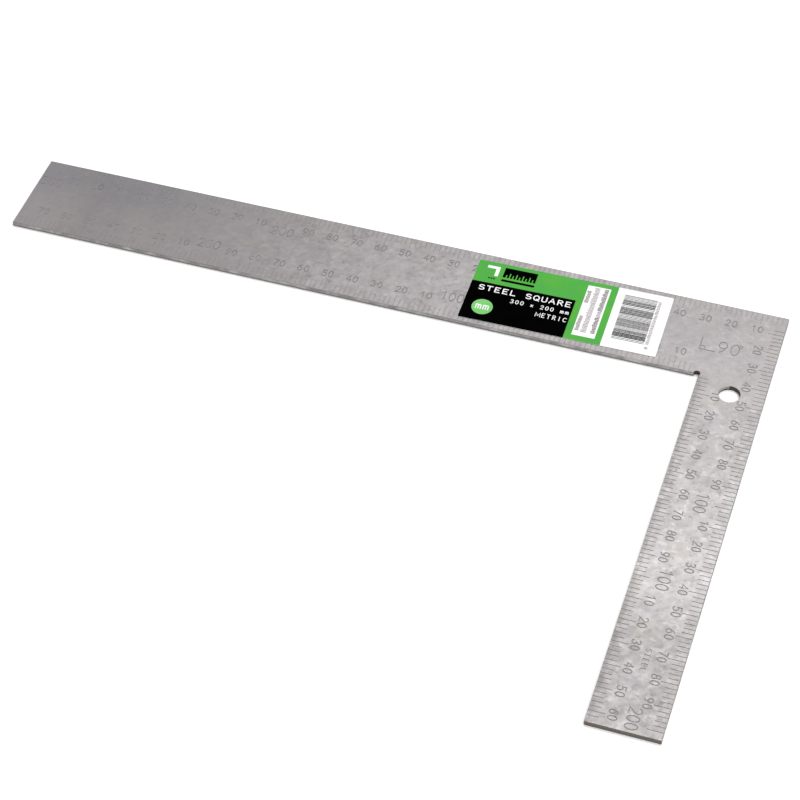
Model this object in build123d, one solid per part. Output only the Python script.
"""Steel square: an L-shaped steel plate with engraved scales, a hanging hole and a printed label.

The plate lies flat with its long blade along X and its tongue pointing to -Y.
The origin is at the centre of the overall box, on the underside.
"""
import os

from build123d import *

# Plate, in millimetres: a 12 x 8 inch blank
BLADE_LENGTH = 304.8
TONGUE_LENGTH = 203.2
BLADE_WIDTH = 38.3
TONGUE_WIDTH = 26.2
THICKNESS = 2.0
EDGE_BREAK = 0.12

# Corners that everything else is measured from
CORNER_X = BLADE_LENGTH / 2
CORNER_Y = TONGUE_LENGTH / 2
INNER_X = CORNER_X - TONGUE_WIDTH
INNER_Y = CORNER_Y - BLADE_WIDTH

# Relief punched at the inner corner, so that a sharp edge can seat in the angle
RELIEF_RADIUS = 1.2
RELIEF_SHIFT = 0.8

# Hanging hole, on the tongue's centre line just below the blade
HOLE_DIAMETER = 8.0
HOLE_BELOW_CORNER = 45.2

# Engraved scales: one line every 2 mm, a longer one every 10 mm
TICK_PITCH = 2
TICKS_PER_LONG = 5
TICK_WIDTH = 0.3
TICK_DEPTH = 0.12
SHORT_TICK = 4.2
LONG_TICK = 6.0
SCALE_END_MARGIN = 1.5
OUTER_TONGUE_START = 8

# Printed label, stuck a little askew across the blade
LABEL_LENGTH = 77.0
LABEL_HEIGHT = 32.5
LABEL_CORNER_RADIUS = 0.6
LABEL_TURN = 0.97
LABEL_FROM_CORNER = 82.5
LABEL_BELOW_EDGE = 19.35
ADHESIVE_INSET = 0.25
ADHESIVE_THICKNESS = 0.05
SHEET_THICKNESS = 0.12


def plate_blank():
    """The flat L with its relief, edges broken, and its hanging hole."""
    outline = Polyline(
        (CORNER_X, CORNER_Y),
        (CORNER_X - BLADE_LENGTH, CORNER_Y),
        (CORNER_X - BLADE_LENGTH, INNER_Y),
        (INNER_X, INNER_Y),
        (INNER_X, CORNER_Y - TONGUE_LENGTH),
        (CORNER_X, CORNER_Y - TONGUE_LENGTH),
        close=True,
    )
    profile = make_face(outline)
    relief = Pos(INNER_X - RELIEF_SHIFT, INNER_Y) * Circle(RELIEF_RADIUS)
    plate = extrude(profile - relief, THICKNESS)
    rims = plate.faces().sort_by(Axis.Z)[0].edges() + plate.faces().sort_by(Axis.Z)[-1].edges()
    plate = chamfer(rims, EDGE_BREAK)
    hole = Pos(CORNER_X - TONGUE_WIDTH / 2, CORNER_Y - HOLE_BELOW_CORNER) * Circle(HOLE_DIAMETER / 2)
    return plate - extrude(hole, THICKNESS)


def tick_row(origin, along, inward, first, last):
    """Rectangles for one scale: distances run along one edge, lines run inward from it."""
    ticks = []
    for distance in range(first, last + 1, TICK_PITCH):
        is_long = distance % (TICK_PITCH * TICKS_PER_LONG) == 0
        length = LONG_TICK if is_long else SHORT_TICK
        centre = Vector(*origin) + Vector(*along) * distance + Vector(*inward) * (length / 2)
        size = (length, TICK_WIDTH) if inward[0] else (TICK_WIDTH, length)
        ticks.append(Pos(centre.X, centre.Y, THICKNESS) * Rectangle(*size))
    return ticks


def last_mark(edge_length):
    """The last even millimetre that leaves the end of a scale clear."""
    usable = int(edge_length - SCALE_END_MARGIN)
    return usable - usable % TICK_PITCH


def scales():
    """All engraved lines as one sketch on the upper face."""
    left, right, up, down = (-1, 0), (1, 0), (0, 1), (0, -1)
    corner = (CORNER_X, CORNER_Y)
    inner = (INNER_X, INNER_Y)
    blade_inside = BLADE_LENGTH - TONGUE_WIDTH
    tongue_inside = TONGUE_LENGTH - BLADE_WIDTH
    rows = tick_row(corner, left, down, TICK_PITCH, last_mark(BLADE_LENGTH))
    rows += tick_row(inner, left, up, 2 * TICK_PITCH, last_mark(blade_inside))
    rows += tick_row(corner, down, left, OUTER_TONGUE_START, last_mark(TONGUE_LENGTH))
    rows += tick_row(inner, down, right, TICK_PITCH, last_mark(tongue_inside))
    return rows


def square_plate():
    """The finished plate: the blank with every scale line engraved in its upper face."""
    grooves = [extrude(tick, -TICK_DEPTH) for tick in scales()]
    return plate_blank() - grooves


def label_layer(inset, bottom, thickness):
    """One layer of the label, as a thin slab with rounded corners."""
    length = LABEL_LENGTH - 2 * inset
    height = LABEL_HEIGHT - 2 * inset
    place = Pos(CORNER_X - LABEL_FROM_CORNER, CORNER_Y - LABEL_BELOW_EDGE, bottom) * Rot(0, 0, LABEL_TURN)
    return extrude(place * RectangleRounded(length, height, LABEL_CORNER_RADIUS), thickness)


def build():
    """Every separate piece, by name."""
    sheet_bottom = THICKNESS + ADHESIVE_THICKNESS
    return {
        "square_plate": square_plate(),
        "label_adhesive": label_layer(ADHESIVE_INSET, THICKNESS, ADHESIVE_THICKNESS),
        "label_sheet": label_layer(0, sheet_bottom, SHEET_THICKNESS),
    }


os.makedirs("parts", exist_ok=True)
for name, solid in build().items():
    export_step(solid, f"parts/{name}.step")
